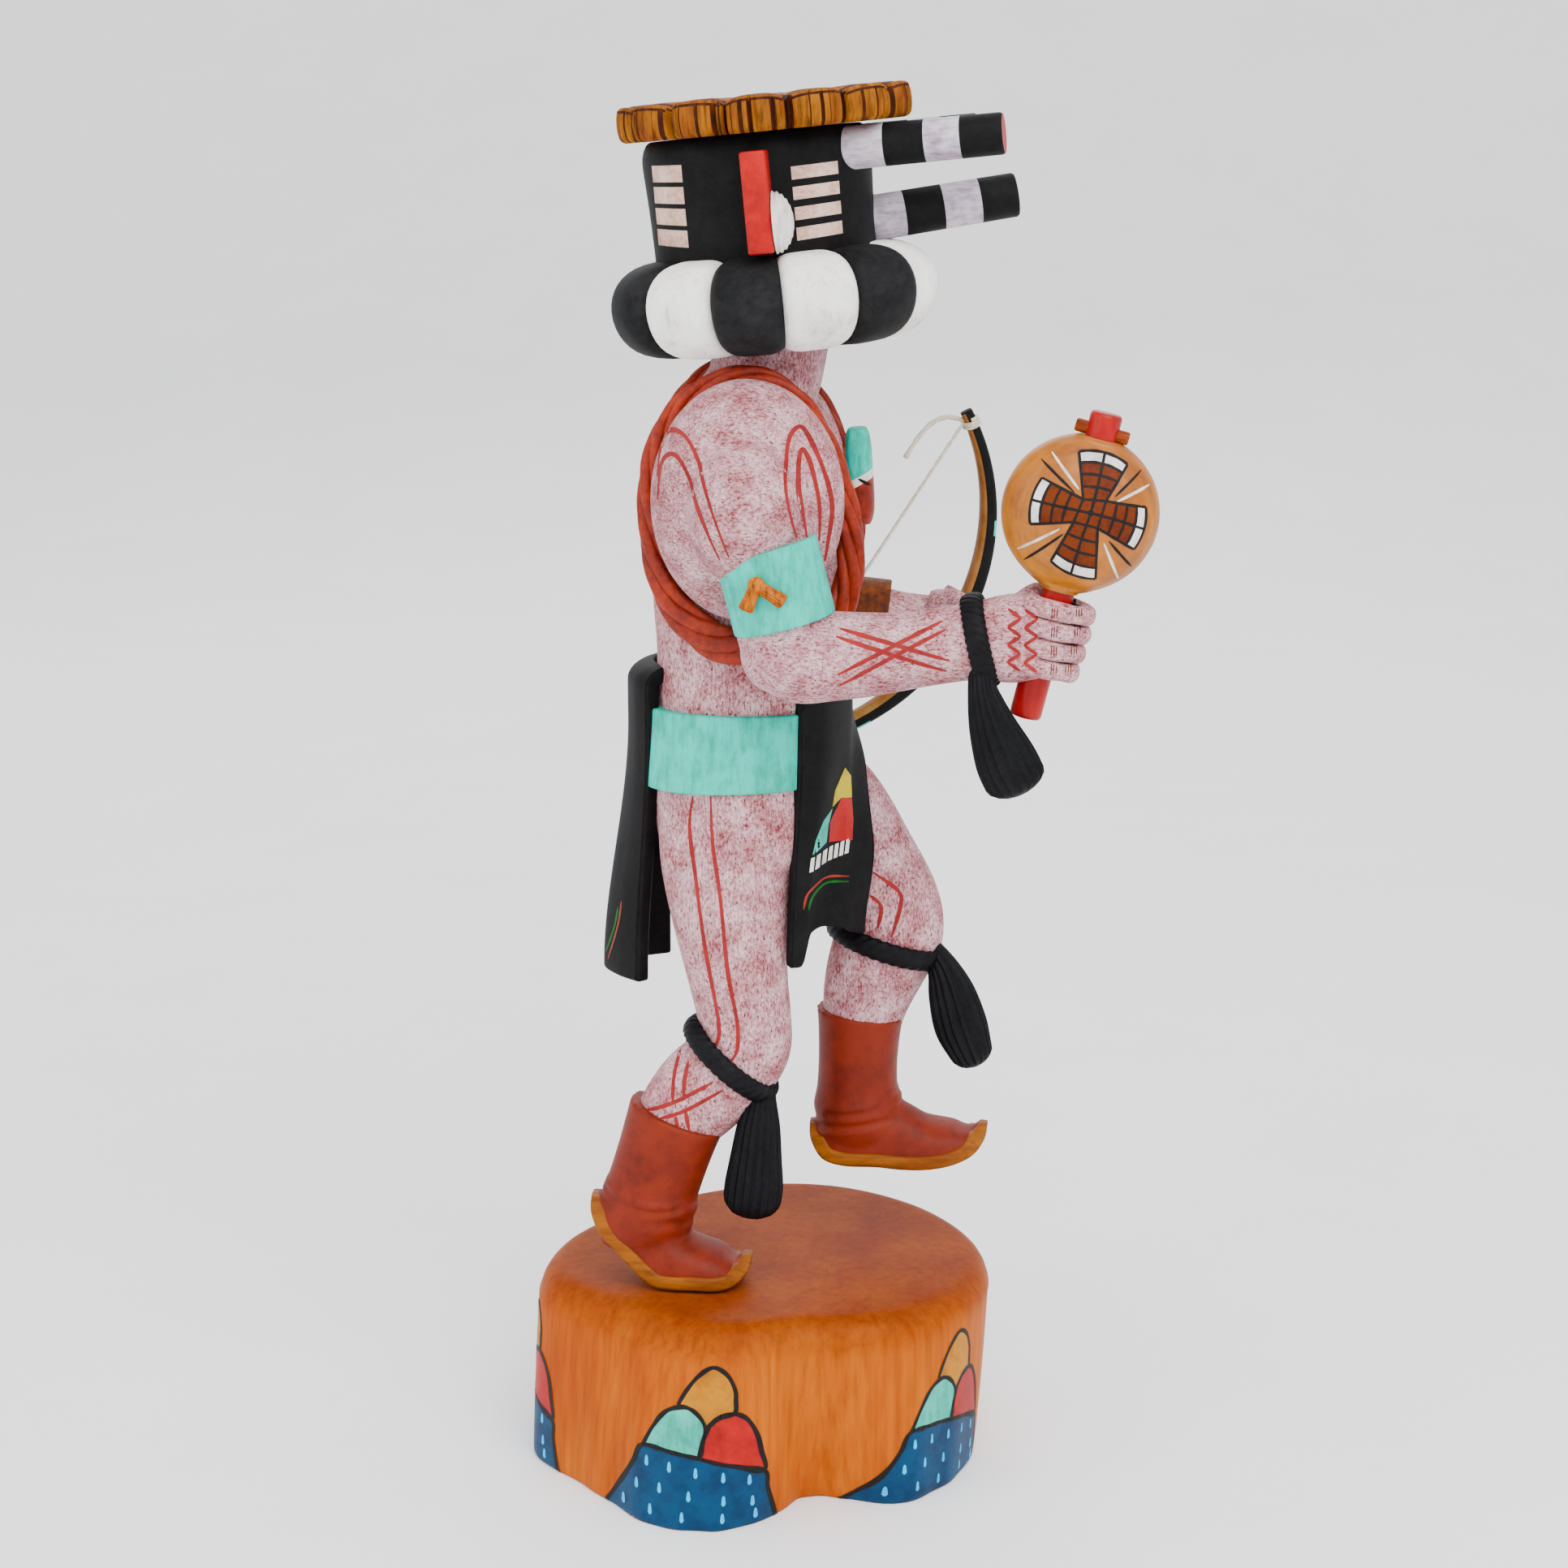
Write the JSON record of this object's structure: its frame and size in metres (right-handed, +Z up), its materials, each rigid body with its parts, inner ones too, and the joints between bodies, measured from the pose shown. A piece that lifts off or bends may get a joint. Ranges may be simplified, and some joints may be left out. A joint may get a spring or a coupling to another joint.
{
  "type": "carved dancing doll figurine",
  "caption": "Carved and painted doll dancing on a lobed wooden base, with a barrel mask, tubes, petalled crown, rattle and bow.",
  "frame": {"origin": "centre of the base's underside", "axes": "+Z up, +X the way the doll faces, +Y towards the doll's left"},
  "size_m": [0.1805, 0.1411, 0.4056],
  "materials": {
    "base_wood": "satin orange-brown stain over straight grain, with painted cloud and rain marks",
    "body_paint": "matt pale pink-white paint with maroon speckle, brick-red lines, turquoise bands and brick-red boots",
    "mask_paint": "matt black paint with cream oblongs and alternate white lobes on the ruff",
    "bark": "bare tan bark with dark grooves",
    "striped_paint": "matt paint in black and pale grey bands",
    "red_paint": "satin red paint",
    "white_paint": "matt white paint",
    "yarn": "satin rust-red paint over carved strands",
    "pendant_paint": "matt turquoise paint with a white band and a rust-red foot",
    "black_paint": "matt black paint with small coloured cloud marks",
    "black_yarn": "satin black paint over fine grooves",
    "brown_wood": "satin brown stain",
    "gourd": "satin golden stain with a painted feather cross",
    "bow_wood": "satin black paint with turquoise marks and a tan belly",
    "twine": "pale waxed twine"
  },
  "bodies": {
    "root": {"base": "base_wood", "figure": "body_paint", "right_arm": "body_paint", "left_arm": "body_paint", "head": "mask_paint", "crown": "bark", "right_eye_tube": "striped_paint", "left_eye_tube": "striped_paint", "mouth_tube": "striped_paint", "right_ear": "red_paint", "left_ear": "red_paint", "right_ear_dome": "white_paint", "left_ear_dome": "white_paint", "right_yarn_loop": "yarn", "left_yarn_loop": "yarn", "chest_pendant": "pendant_paint", "front_flap": "black_paint", "back_flap": "black_paint", "right_wrist_tie": "black_yarn", "right_knee_tie": "black_yarn", "left_knee_tie": "black_yarn", "right_armband_knot": "brown_wood", "left_armband_knot": "brown_wood", "rattle_gourd": "gourd", "rattle_handle": "red_paint", "rattle_peg": "brown_wood", "bow": "bow_wood", "bowstring": "twine"}
  },
  "joints": []
}
